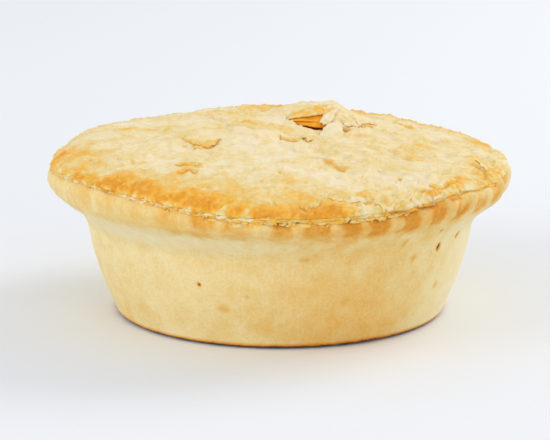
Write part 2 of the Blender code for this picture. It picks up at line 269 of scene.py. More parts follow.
lid = {
    "gridSteps": 300,
    "shoulderRadius": 56.3 * mm,
    "shoulderHeight": 35.9 * mm,
    "shoulderRise": 3.7 * mm,
    "shoulderLean": 0.9 * mm,
    "shoulderLowest": math.radians(-5),
    "crownRise": 3.3 * mm,
    "lipDepth": 1.0 * mm,
    "lipOut": 0.5 * mm,
    "lipIn": 0.8 * mm,
    "lipRings": 0.07,  # share of the grid's rings spent on the torn lip
    # how thick the torn lip is, round the pie
    "lip": (
        (-180, 1.2), (-160, 1.8), (-140, 2.2), (-125, 2.2), (-116, 1.9), (-108, 1.6), (-103, 2.3),
        (-98, 2.1), (-94, 1.1), (-86, 1.1), (-83, 2.1), (-80, 2.1), (-77, 1.2), (-68, 1.1), (-62, 1.2),
        (-50, 1.3), (-42, 1.8), (-10, 2.2), (15, 1.6), (40, 1.2), (160, 1.1),
    ),
    # wide swellings and sags: x, y, radius and height in mm
    "swellings": (
        (-8, 40, 20, 0.8), (-22, 20, 16, 0.6), (-34, -14, 12, 0.7), (-19, -3, 6, 0.8), (-2, -32, 12, 0.5),
        (23, -27, 10, -0.7), (31, 12, 12, 0.5), (38, -28, 6, 0.8), (47, -10, 5, 0.7),
        (35.6, -40.6, 2.8, 1), (42.6, -33, 3, 1.2), (46, -25, 2.6, 0.7), (-32, 38, 10, -0.8),
        (36, 36, 11, -0.6), (-39, -34, 4.5, 0.7), (-30, -42, 5, 0.7), (-46, 18, 12, 0.9),
        (55, -5, 5, 0.8), (48, 16, 9, -0.4), (2, 17.5, 5, -0.9), (13, 28.5, 4.5, 1.5),
    ),
    # layers of pastry that have lifted and flaked: pattern size, cover, thickness, curl, seed
    "layers": (
        (15 * mm, 0.02, 0.32 * mm, 0.16 * mm, 3),
        (10 * mm, 0.05, 0.26 * mm, 0.15 * mm, 31),
        (6 * mm, 0.08, 0.20 * mm, 0.12 * mm, 57),
    ),
    "layerEdge": 0.5 * mm,
    "curlWidth": 1.2 * mm,
    "detailMean": 0.55 * mm,
    # unevenness from noise: width of a bump, its height, seed and octaves
    "coarseBumps": (13 * mm, 0.7 * mm, 11),
    "fineBumps": (5.5 * mm, 0.5 * mm, 23),
    "ventBumps": (3 * mm, 0.5 * mm, 71),
    "foldWarp": (7 * mm, 2 * mm, 91),
    "folds": (4.2 * mm, 2.2, 5, 2),
    "foldHeight": 0.3 * mm,
    "wrinkles": (2.2 * mm, 0.2 * mm, 37, 2),
    "bubbles": (1.5 * mm, 2, 61, 2),
    "bubbleHeight": 0.26 * mm,
    "grain": (0.9 * mm, 0.07 * mm, 9, 2),
    "rags": (1.6 * mm, 0.4 * mm, 13, 3),
    "wideRags": (5 * mm, 0.25 * mm, 17),
    "strataRadius": 57 * mm,
    "strataStretch": 3.2,  # the layers in the lip are this much thinner than they are wide
    # the same for its browning, with a strength in place of the height
    "patches": (7 * mm, 1, 41, 3),
    "spots": (2.6 * mm, 1, 53, 3),
    "wideWash": (17 * mm, 0.24, 47, 2),
    "dots": (1.3 * mm, 1.4, 97, 2),
    "lipTears": (2 * mm, 0.8, 19),
    "paleLayers": (2.2 * mm, 1.6, 71, 2),
    "blister": {
        "x": 11 * mm,
        "y": 26 * mm,
        "height": 2.7 * mm,
        "left": 15 * mm,
        "right": 11 * mm,
        "back": 18 * mm,
        "front": 8 * mm,
    },
    # the opening of the burst blister: its front and back edge as x, y in mm, and how high its floor lies
    "vent": {
        "front": ((1.4, 21), (4.4, 18.8), (7.2, 15.9), (9.1, 13.6), (10.6, 12.6), (12.8, 14.5)),
        "back": ((1.4, 22), (6, 23.6), (12.8, 23.6)),
        "floor": 40.6 * mm,
    },
    # tears and slits: line in mm, depth in mm, width in mm, browning of the groove (partly the crust's
    # colour, partly painted shade), height of the raised far side in mm
    "strokes": (
        (((-21.5, -12.5), (-19.8, -14), (-18.3, -14.8), (-16.5, -13.2), (-15, -10)), 0.7, 0.45, 0.5, 0.2),
        (((-24, -11.9), (-22.2, -12)), 0.4, 0.3, 0.5, 0.1),
        (((-22.6, -18.6), (-21.4, -16.4)), 0.4, 0.3, 0.5, 0.1),
        (((-25, -28.4), (-23.3, -26.4), (-21.4, -27), (-18.3, -31.5)), 0.4, 0.45, 0.5, 0.35),
        (
            ((-25, -37.3), (-22.9, -32.8), (-21.6, -30.7), (-20.8, -32.4), (-19.6, -35.6)),
            0.45, 0.45, 0.6, 0.35,
        ),
        (((-1, 1), (1.8, -1.3), (3.4, -2.3), (5.5, -2)), 0.35, 0.4, 0.45, 0.3),
        (((5, 3.2), (6.2, 0.8), (7.7, -1.9)), 0.3, 0.4, 0.55, 0.25),
        (((9.3, -14.5), (11, -19.5), (12.3, -22.8), (13.9, -25.6), (16.2, -28.4)), 0.8, 1.1, 0.6, 0.15),
        (((-4.1, -32.7), (-3.2, -32.7)), 0.4, 0.35, 0.45, 0),
        (((-0.5, -34.7), (0.3, -34.7)), 0.4, 0.35, 0.45, 0),
        (((-4.7, -39.8), (-3.9, -39.8)), 0.4, 0.35, 0.45, 0),
        (((19.2, -33.8), (19.8, -33.8)), 0.5, 0.3, 0.9, 0),
        (((27.9, -34.2), (28.7, -32.8)), 0.7, 0.55, 0.75, 0.1),
        (((5, -54.6), (6.9, -54), (8.3, -53.4), (10.4, -51.5)), 0.35, 0.3, 0.7, 0.2),
        (((11.4, -50.9), (15.1, -49.8), (18.6, -49.4), (21.6, -48.6)), 0.35, 0.35, 0.5, 0.3),
        (((36, -35.7), (37.9, -37.3)), 0.6, 0.35, 0.7, 0.2),
        (((22.6, -51.6), (24.9, -50.9)), 0.4, 0.3, 0.9, 0.2),
        (((25.3, -50.3), (26, -50.1)), 0.4, 0.3, 0.9, 0.1),
        (((45.8, -15.5), (48.4, -16.8), (49.4, -20), (50.4, -22.6)), 0.6, 0.45, 0.6, 0.3),
        (((37.6, -38.3), (39.5, -36.4), (41.8, -33.4)), 0.8, 0.35, 1, 0.2),
        (((33.4, -41.4), (35.2, -40.2)), 0.7, 0.3, 1, 0.2),
        (((40.6, -31), (42.4, -28.6), (44.6, -29), (46.6, -26.8)), 0.5, 0.35, 0.6, 0.3),
        (((13, 16.2), (15.2, 16.4), (16.3, 14), (17, 12.2), (15.4, 9.6)), 1.1, 0.85, 1, 0.1),
        (((19.4, 19.6), (21.9, 18.9), (23.9, 18.5)), 0.5, 0.4, 0.9, 0.4),
        (((-39, 10.5), (-36, 12.5)), 0.5, 0.5, 0.6, 0.3),
        (((-10.5, 14.5), (-7.5, 12.5), (-5, 12.9)), 0.3, 0.35, 0.5, 0.3),
        (((-36.5, -23), (-34, -26), (-31.5, -25)), 0.25, 0.35, 0.4, 0.3),
        (((30, -13), (33, -15), (35.5, -13.5)), 0.25, 0.35, 0.4, 0.3),
        (((-14, 33), (-10, 31), (-6, 33.5)), 0.4, 0.4, 0.5, 0.3),
        (((28, 30), (33, 26), (36, 27)), 0.4, 0.4, 0.5, 0.3),
    ),
    "farSide": 1.0 * mm,  # how far behind a tear its raised side lies, and how wide it is
    # browner and paler areas: x, y and radius in mm, browning
    "washes": (
        (-48, -6, 13, 0.2), (-46, -16, 7, 0.14), (-12, 33, 8, 0.1), (-35, 17, 8, -0.06),
        (3, -45, 11, 0.12), (-2, 42, 14, 0.1), (24, -45, 9, 0.08), (-30, 30, 12, 0.02), (32, -2, 5, 0.16),
        (-19, -36, 9, 0.1), (-22, -31, 4, 0.12), (36, -38, 9, -0.28), (51, -6, 8, -0.16),
    ),
    # how strongly the shoulder baked, round the pie, and how far in from the middle that starts in mm
    "bake": (
        (-180, 0.2), (-160, 0.6), (-145, 0.9), (-118, 1.08), (-105, 0.72), (-88, 0.98), (-72, 0.67),
        (-60, 0.22), (-45, 0.25), (-20, 0.15), (10, 0.2), (60, 0.4), (120, 0.45), (160, 0.3),
    ),
    "bakeInner": (
        (-180, 51), (-156, 50.5), (-148, 48.5), (-132, 47), (-122, 49.5), (-112, 47), (-105, 49),
        (-95, 51), (-60, 52), (-30, 50.5), (0, 50), (90, 47),
    ),
    # the places that browned most: heading, radius in mm, half width in degrees and in mm, strength
    "browned": (
        (-136.5, 55.3, 4, 2.2, 0.6), (-126.5, 54.8, 6, 2.8, 0.75), (-119, 56.2, 4.5, 2.4, 0.9),
        (-110, 54.6, 6.5, 2.8, 0.6), (-100.7, 56, 2.4, 1.6, 0.6), (-94.3, 55.8, 3.4, 2, 0.9),
        (-88.8, 55.4, 3, 1.8, 0.55), (-84.6, 55.8, 2.6, 1.8, 0.55), (-76.5, 55.6, 4.6, 2.2, 0.75),
        (-47.5, 53.4, 2.6, 1.3, 1.2), (-38, 53, 3, 1.3, 1.2), (-17.5, 54.8, 3, 1.6, 0.7),
    ),
    # where the rim stands over the lid's edge, where the torn layers of that edge show pale, and where the
    # lip is paler: heading, half width
    "overhang": (-22, 50),
    "paleEdge": (-130, 44),
    "paleLip": (-15, 50),
    "plainTone": 0.19,
    "shoulderTone": 0.38,
    "shoulderWidth": 5.5 * mm,
    "creaseShadeTone": 0.45,
    "tearShadeTone": 0.95,
    "lipShadeTone": 0.85,
    "undersideShadeTone": 0.8,  # the hidden side, painted deep gold as warm shade for the gap under the lip
}


def lidProfile():
    # the section of the lid from its middle, over the shoulder and round the torn lip: radius, height,
    # share of the shoulder's rise, and the number of points above the lip
    share = np.sin(np.linspace(0, math.pi / 2, 400))
    shoulder = (1 - share**9) ** 0.5
    radius = lid["shoulderRadius"] * share
    height = lid["shoulderHeight"] + lid["crownRise"] * (1 - share**2) + lid["shoulderRise"] * shoulder
    turn = np.linspace(0.05, 1, 60) * math.pi
    bulge = lid["lipOut"] * np.sin(turn) ** 0.7 - lid["lipIn"] * (turn / math.pi) ** 3
    lipHeight = lid["shoulderHeight"] - lid["lipDepth"] * (1 - np.cos(turn)) / 2
    return (
        np.concatenate([radius, lid["shoulderRadius"] + bulge]),
        np.concatenate([height, lipHeight]),
        np.concatenate([shoulder, np.zeros_like(turn)]),
        len(radius),
    )


def blisterHeight(x, y):
    form = lid["blister"]
    width = np.where(x > form["x"], form["right"], form["left"])
    depth = np.where(y > form["y"], form["back"], form["front"])
    away = np.hypot((x - form["x"]) / width, (y - form["y"]) / depth)
    return form["height"] * (1 - smoothStep(0.3, 1.2, away))


def flakeLayers(points):
    # sheets of pastry with torn, slightly curled edges, one over another
    height, edges = np.zeros((2, len(points)))
    for size, cover, thickness, curl, seed in lid["layers"]:
        field = roughen(points, size, 1, seed, 5)
        inside = (field + cover) * size / 1.6  # near enough the distance in from the torn edge
        sheet = smoothStep(0, lid["layerEdge"], inside)
        curled = sheet * np.exp(-np.maximum(inside, 0) / lid["curlWidth"])
        height += thickness * sheet + curl * curled
        edges = np.maximum(edges, curled)
    return height, edges


def brownedPlaces(angle, radius, wobble):
    total = np.zeros_like(radius)
    for heading, out, halfTurn, halfWidth, strength in lid["browned"]:
        turn, across = degreesFrom(angle, heading) / halfTurn, (radius / mm - out) / halfWidth
        total = np.maximum(total, strength * (1 - smoothStep(0.4, 1.5, np.hypot(turn, across) + wobble)))
    return total


def ventPit(x, y):
    # 1 in the open front of the burst blister, between its front lip and the roof behind it
    front, back = np.array(lid["vent"]["front"]) * mm, np.array(lid["vent"]["back"]) * mm
    left, right = front[0, 0], front[-1, 0]
    within = smoothStep(left, left + 0.6 * mm, x) * (1 - smoothStep(right - 0.5 * mm, right, x))
    pastFront = mmStep(-0.1, 0.5, y - np.interp(x, *front.T))
    pastBack = mmStep(-0.4, 0.3, y - np.interp(x, *back.T))
    return within * pastFront * (1 - pastBack)


def strokeRelief(x, y):
    # small tears, slits and folds: the height of each place, and the browning of its groove, partly the
    # crust's own colour and partly painted shade
    height, brown = np.zeros((2, len(x)))
    for line, depth, width, colour, lift in lid["strokes"]:
        distance, side, along = awayFromLine(x, y, np.array(line) * mm)
        ends = smoothStep(-0.02, 0.15, along) * (1 - smoothStep(0.85, 1.02, along))
        groove = bell(distance, 0, width * mm) * ends
        behind = bell(distance, lid["farSide"], lid["farSide"]) * (side > 0) * ends
        height += lift * mm * behind - depth * mm * groove
        brown = np.maximum(brown, colour * groove)
    return height, brown


def discFromSquare(a, b):
    # each square ring of the grid turns into a round one: which ring a point is on, and its angle there
    ring = np.maximum(np.abs(a), np.abs(b))
    quarter = math.pi / 4
    safe = np.where(ring > 0, ring, 1)
    angle = np.where(
        np.abs(a) >= np.abs(b),
        quarter * b / safe * np.sign(a) + np.where(a < 0, math.pi, 0),
        2 * quarter * np.sign(b) - quarter * a / safe * np.sign(b),
    )
    return ring, angle


def closeUnderside(piece, topVertices):
    # the underside is drawn together from the lip and follows the seam
    selectOnly(piece)
    bpy.ops.object.mode_set(mode="EDIT")
    selectOpenEdge()
    drawTogether((0.99, 0.9, 0.75, 0.5))
    bpy.ops.object.mode_set(mode="OBJECT")
    points = pointsOf(piece)
    under = points[topVertices:]
    angle, radius = turnsOf(under)
    under[:, 2] = seamHeight(radius) + rimLift(angle, radius) + pieForm["seamGap"]
    setPoints(piece, points)


def makeLid():
    deselectAll()
    steps = lid["gridSteps"]
    bpy.ops.mesh.primitive_grid_add(x_subdivisions=steps, y_subdivisions=steps, size=2)
    piece = bpy.context.object
    piece.name = "flakyLid"
    a, b, _ = pointsOf(piece).T
    ring, angle = discFromSquare(a, b)

    # each ring goes to its place along the section, with its outward direction
    profileRadius, profileHeight, profileRise, topCount = lidProfile()
    length = lengthAlong(profileRadius, profileHeight)
    topLength = length[topCount - 1]
    topRings = 1 - lid["lipRings"]
    inner = ring / topRings
    onTop = topLength * (1.12 * inner - 0.12 * inner**4)
    onLip = topLength + (length[-1] - topLength) * (ring - topRings) / lid["lipRings"]
    along = np.where(ring < topRings, onTop, onLip)
    radius = np.interp(along, length, profileRadius)
    height = np.interp(along, length, profileHeight)
    rise = np.interp(along, length, profileRise)
    before, after = along - 0.05 * mm, along + 0.05 * mm
    outward = np.interp(before, length, profileHeight) - np.interp(after, length, profileHeight)
    upward = np.interp(after, length, profileRadius) - np.interp(before, length, profileRadius)
    size = np.hypot(outward, upward)
    outward, upward = outward / size, upward / size
    pastTop = along - topLength
    inLip = mmStep(-0.6, 0.4, pastTop)
    lipDrop = smoothStep(0, length[-1] - topLength, pastTop) * (byHeading(angle, lid["lip"]) - 1) * mm

    plain = roundPoints(angle, radius, height)
    x, y, _ = plain.T
    level = plain * (1, 1, 0)
    nearEdge = smoothStep(pieForm["lidRadius"] - pieForm["edgeBand"], pieForm["lidRadius"], radius)

    # wide forms first, straight up: where the rim stands high, the shoulder over it is lower
    lean = -lid["shoulderLean"] * np.cos(angle - lid["shoulderLowest"])
    lifted = lean * rise + rimLift(angle, radius) * blend(1, pieForm["topLift"], rise)
    wide = sum(tall * mm * roundSpot(x, y, *place) for *place, tall in lid["swellings"])
    wide += roughen(level, *lid["coarseBumps"]) + roughen(level, *lid["fineBumps"])
    wide *= 1 - 0.5 * nearEdge
    pit = ventPit(x, y)
    lifted += (wide + blisterHeight(x, y) - lid["detailMean"]) * (1 - inLip) - lipDrop
    floorHeight = lid["vent"]["floor"] + roughen(level, *lid["ventBumps"])
    strokes, strokeBrownAndShade = strokeRelief(x, y)
    height = blend(height + lifted + strokes * (1 - inLip), floorHeight, pit)

    # then the flakes and wrinkles, outwards from the surface
    sheets, edges = flakeLayers(plain)
    warped = plain + roughen(plain, *lid["foldWarp"])[:, None]
    folds = 1 - np.abs(roughen(warped, *lid["folds"]))
    wrinkles = lid["foldHeight"] * folds + roughen(plain, *lid["wrinkles"])
    bubbles = lid["bubbleHeight"] * np.abs(roughen(plain, *lid["bubbles"])) * nearEdge
    detail = (sheets + wrinkles + bubbles) * (1 - inLip) * (1 - 0.7 * pit) + roughen(plain, *lid["grain"])
    strata = roundPoints(angle, lid["strataRadius"], height * lid["strataStretch"])
    rags = roughen(strata, *lid["rags"]) + roughen(strata, *lid["wideRags"])
    overhang = nearHeading(angle, *lid["overhang"])
    detail += rags * inLip * (1 - 0.55 * overhang)
    radius = radius - edgeDrawBack(angle, radius) + detail * outward
    height = height + detail * upward
    setPoints(piece, roundPoints(angle, radius, height))
    closeUnderside(piece, len(plain))

    # how brown each place baked, how torn and how deep, as attributes for the material
    patches = roughen(plain, *lid["patches"])
    spots = roughen(plain, *lid["spots"])
    baked = byHeading(angle, lid["bake"])
    pastInner = radius - byHeading(angle, lid["bakeInner"]) * mm
    band = smoothStep(0, 1, (pastInner - 1 * mm) / lid["shoulderWidth"] + 0.35 * patches)
    band *= 1 - 0.8 * inLip
    strength = baked * np.clip(0.8 + 0.8 * patches + 0.5 * spots, 0, 1.5)
    raised = (detail - lid["detailMean"]) / (0.4 * mm) * (1 - inLip)
    tone = lid["plainTone"] + roughen(plain, *lid["wideWash"]) + 0.16 * patches + 0.08 * spots
    tone += 0.05 * raised + band * strength * lid["shoulderTone"]
    tone += sum(golden * roundSpot(x, y, *place) for *place, golden in lid["washes"])
    # painted highlight and shade: the tops of the bubbles are painted paler and the hollows between them
    # browner, as light falls on them
    tone -= band * (bubbles / lid["bubbleHeight"] - 0.45) * 0.3  # the tops of the bubbles stay paler
    tone += 0.16 * mmStep(-10, 2, pastInner) * baked
    browned = brownedPlaces(angle, radius, 0.5 * spots + 0.3 * patches) * (1 - inLip)
    tone += 0.34 * browned * np.clip(1.1 + roughen(plain, *lid["dots"]), 0.3, 1.5)
    # where the rim stands over the lid's edge, the crease between them is painted a deeper gold: painted
    # warm shade in the crease
    tone += lid["creaseShadeTone"] * mmStep(-0.2, 0.8, pastTop) * overhang
    # at the left the torn layers of the edge show pale
    layered = mmStep(-1.7, -0.6, pastTop) * nearHeading(angle, *lid["paleEdge"])
    tone -= 0.6 * layered * np.clip(0.65 + roughen(plain, *lid["paleLayers"]), 0, 1)
    tone += 0.1 * mmStep(40, 52, radius)
    # the grooves of tears and slits are painted deep brown: partly the crust's colour there, partly painted
    # shade
    tone = blend(tone, lid["tearShadeTone"], np.clip(strokeBrownAndShade, 0, 1))
    # the lip's lower side, in the gap over the case, is painted deep gold: painted warm shade
    underLip = mmStep(1.2, 1.9, pastTop)
    tone = blend(tone, lid["lipShadeTone"] - 0.2 * nearHeading(angle, *lid["paleLip"]), underLip)
    lipTorn = inLip * np.clip(0.6 + roughen(strata, *lid["lipTears"]), 0, 1) * (1 - underLip)
    torn = np.maximum(0.6 * edges * (1 - inLip) * (1 - pit) * (1 - 0.7 * band), 0.4 * lipTorn)
    below = len(piece.data.vertices) - len(plain)
    # the underside is painted deep gold: painted warm shade for the gap under the lip
    tone = np.append(np.clip(tone, 0, 1), np.full(below, lid["undersideShadeTone"]))
    hidden = np.zeros(below)
    addAttributes(piece, browning=tone, torn=np.append(torn, hidden), deep=np.append(pit, hidden))
    bpy.ops.object.shade_smooth()
    return piece


# The case

case = {
    "segments": 720,
    "fluteDepth": 1.3 * mm,
    "fluteFoot": 30.0 * mm,
    # the pressed hollows in front, as headings; the rest are spaced evenly
    "frontFlutes": (-108.6, -99.8, -89.8, -80.5, -73.2, -66.0, -57.4, -48.2, -39.4, -31.4, -23.4),
    "otherFlutes": 31,
    "standRadius": 36.5 * mm,
    "baseRadius": 40.4 * mm,
    "baseLift": 0.5 * mm,  # the edge of the base curves up off the table
    "cornerHeight": 1.6 * mm,
    "wallFootRadius": 41.2 * mm,
    "wallTopRadius": 47.9 * mm,
    "wallTopHeight": 22.2 * mm,
    "wallBulge": 0.8 * mm,
    "flareTopRadius": 56.6 * mm,
    "flareTopHeight": 31.5 * mm,
    "rimRadius": 57.6 * mm,
    "rimHeight": 33.0 * mm,
    "lipRadius": 56.4 * mm,
    "lipHeight": 34.8 * mm,
    "seamInner": 47 * mm,  # the case is open inside this radius until its top is drawn together
    "ringGap": 0.5 * mm,
    # where the rim is fuller, and where its underside turns in: heading, half width, amount
    "fuller": ((-5, 42, 0.7 * mm), (-165, 45, 0.4 * mm)),
    "undercut": ((-179, 34, -2.1 * mm),),
    # unevenness from noise: width of a bump, its height, seed and octaves
    "headingWarp": (5 * mm, 1.6, 83),
    "waves": (22 * mm, 0.3 * mm, 7),
    "ripples": (6 * mm, 0.08 * mm, 19, 2),
    "grain": (0.8 * mm, 0.02 * mm, 29, 2),
    "folds": (2.4 * mm, 1, 87, 2),
    "foldHeight": 0.16 * mm,
    "foldStretch": 0.22,  # they run up the rim, so they are longer than they are wide
    "speckDepth": 0.2 * mm,
    # the same for its browning, with a strength in place of the height
    "patches": (6 * mm, 1, 43, 3),
    "spots": (1.8 * mm, 1, 73, 2),
    # how far down the browned hollows reach, by noise and round one heading: heading, half width, amount
    "hollowFoot": (3 * mm, 0.9 * mm, 67, 2),
    "lowHollows": ((-98, 36, 0.9 * mm),),
    # how deep the pressed hollows are, round the pie
    "press": (
        (-180, 0.15), (-125, 0.25), (-108, 0.45), (-90, 0.6), (-60, 0.85), (-30, 1), (10, 0.9), (90, 0.6),
        (150, 0.4),
    ),
    # how brown the hollows are, round the pie, and how much darker their upper end is painted: painted
    # shadow under the fringe
    "bake": (
        (-180, 0.05), (-125, 0.05), (-108, 0.4), (-90, 0.4), (-76, 0.55), (-62, 0.92), (-53, 1),
        (-45, 0.72), (-30, 0.6), (-18, 0.45), (10, 0.4), (90, 0.35), (150, 0.2),
    ),
    "underFringeShade": ((-180, 0.4), (-95, 0.6), (-60, 0.5), (-52, 0), (-44, -0.7), (-10, -0.6), (30, 0.2)),
    # how golden the ribs between them are, and where they are paler again: heading, half width, amount
    "rimTone": (
        (-180, 0.1), (-140, 0.14), (-115, 0.2), (-90, 0.02), (-60, 0.1), (-50, 0.18), (-30, 0.2),
        (-17, 0.45), (0, 0.18), (30, 0.15), (120, 0.1),
    ),
    "paleRibs": ((-22, 48, 0.08),),
    "brownSide": math.radians(-60),  # the wall is browner towards this side
    # browner and paler parts of the wall, all over, low down and under the rim: heading, half width,
    # change; paler under the rim is painted light against the rim's shade
    "wallTones": ((-150, 40, 0.06), (-82, 60, 0.05), (-64, 42, 0.08), (-5, 50, -0.28)),
    "lowTones": ((-115, 60, -0.06), (-28, 42, -0.12)),
    "underRimPaintedLight": ((-135, 65, -0.2),),
    # specks and spots, in mm and degrees: heading, height, half length, lean, half width, browning
    "specks": (
        (-41.1, 27.5, 0.2, 0, 0.4, 0.7), (-26.9, 23.6, 0.5, 50, 0.45, 1.3),
        (-37, 22.3, 0.5, 60, 0.5, 1.5), (-53.4, 26.1, 0.5, 90, 0.8, 0.3),
        (-47.9, 21.2, 0.3, 30, 0.6, 0.35), (-83.3, 23.9, 0.6, 0, 0.6, 0.25),
        (-114.3, 16.5, 0, 0, 0.42, 1.3), (-107.3, 10.5, 0.5, 0, 1.1, 0.28),
        (-99.8, 14.2, 0, 0, 0.4, 0.35), (-70, 12.5, 0.6, 20, 0.7, 0.15), (-34, 12, 0.4, 70, 0.6, 0.3),
        # the two dark lines under the lid's edge at the right: painted shadow where the lid's edge
        # overhangs
        (-50, 34.5, 1.5, 0, 0.26, 0.6), (-42.2, 34.5, 2.3, 0, 0.26, 0.6),
        # at the back
        (150, 18, 0.3, 0, 0.5, 0.8), (95, 14, 0.5, 40, 0.6, 0.7), (40, 21, 0.3, 0, 0.5, 0.6),
    ),
    "baseBrownAndShade": (0.6 * mm, 1.6 * mm),  # the base's edge, browned and painted dark as the contact shadow under it, fades out between these heights
    # the case's top under the lid's edge, painted deep gold as warm shade in the gap
    "hiddenShadeTone": 0.85,
}


def caseProfile():
    # the outer side from under the lid, over the rim and down to the base: radius, height
    seam = np.linspace(case["seamInner"], pieForm["seamRadius"], 8)
    lipTurn = np.linspace(0, 1, 10) * math.pi / 2
    flare = np.linspace(1, 0, 16)
    wall = np.linspace(0, 1, 16)[1:]
    bulge = case["wallBulge"] * np.sin(math.pi * wall)
    corner = np.linspace(0, math.pi / 2, 8)[1:]
    base = np.linspace(0, 1, 6)[1:]
    radius = (
        seam,
        blend(case["lipRadius"], case["rimRadius"], np.sin(lipTurn)),
        blend(case["wallTopRadius"], case["flareTopRadius"], flare**1.7),
        blend(case["wallTopRadius"], case["wallFootRadius"], wall) + bulge,
        blend(case["baseRadius"], case["wallFootRadius"], np.cos(corner)),
        blend(case["baseRadius"], case["standRadius"], base),
    )
    height = (
        seamHeight(seam),
        blend(case["rimHeight"], case["lipHeight"], np.cos(lipTurn)),
        blend(case["wallTopHeight"], case["flareTopHeight"], flare),
        blend(case["wallTopHeight"], case["cornerHeight"], wall),
        blend(case["cornerHeight"], case["baseLift"], np.sin(corner)),
        case["baseLift"] * (1 - base) ** 1.5,
    )
    return np.concatenate(radius), np.concatenate(height)


def evenly(radius, height, gap):
    # the same line with a point every gap
    length = lengthAlong(radius, height)
    places = np.linspace(0, length[-1], int(length[-1] / gap) + 1)
    return np.interp(places, length, radius), np.interp(places, length, height)


def fluteHollow(angle):
    # 1 in the middle of each pressed hollow and 0 on the ribs between, with the hollow's number
    front = case["frontFlutes"]
    rest = np.linspace(front[-1], front[0] + 360, case["otherFlutes"] + 2)[1:-1]
    centres = np.concatenate([front, rest, [front[0] + 360]])
    heading = (np.degrees(angle) - front[0]) % 360 + front[0]
    phase = np.interp(heading, centres, np.arange(len(centres)))
    return 0.5 + 0.5 * np.cos(math.tau * phase), np.round(phase) % (len(centres) - 1)


def wallSpecks(angle, radius, height):
    total = np.zeros_like(radius)
    for heading, up, halfLength, lean, halfWidth, colour in case["specks"]:
        along = (angle - math.radians(heading)) * radius / mm
        rise = height / mm - up
        turn = math.radians(lean)
        a = along * math.cos(turn) + rise * math.sin(turn)
        b = rise * math.cos(turn) - along * math.sin(turn)
        away = np.hypot(np.maximum(np.abs(a) - halfLength, 0), b)
        total = np.maximum(total, np.minimum(1, 1.6 * colour * bell(away, 0, halfWidth)))
    return total


def drawCase():
    # a ring drawn along the profile, and closed at the base and under the lid
    deselectAll()
    radius, height = case["standRadius"], 0
    bpy.ops.mesh.primitive_circle_add(vertices=case["segments"], radius=radius, fill_type="NOTHING")
    piece = bpy.context.object
    piece.name = "shortcrustCase"
    ringRadius, ringHeight = evenly(*caseProfile(), case["ringGap"])
    bpy.ops.object.mode_set(mode="EDIT")
    bpy.ops.mesh.select_all(action="SELECT")
    for i, (nextRadius, nextHeight) in enumerate(zip(ringRadius, ringHeight)):
        share = nextRadius / radius
        if i > 0:
            bpy.ops.mesh.extrude_edges_move()
        bpy.ops.transform.translate(value=(0, 0, nextHeight - height))
        bpy.ops.transform.resize(value=(share, share, 1))
        radius, height = nextRadius, nextHeight
    drawTogether((0.7,))
    selectOpenEdge()
    drawTogether((0.8, 0.6, 0.5))
    faceOutward(piece)
    return piece


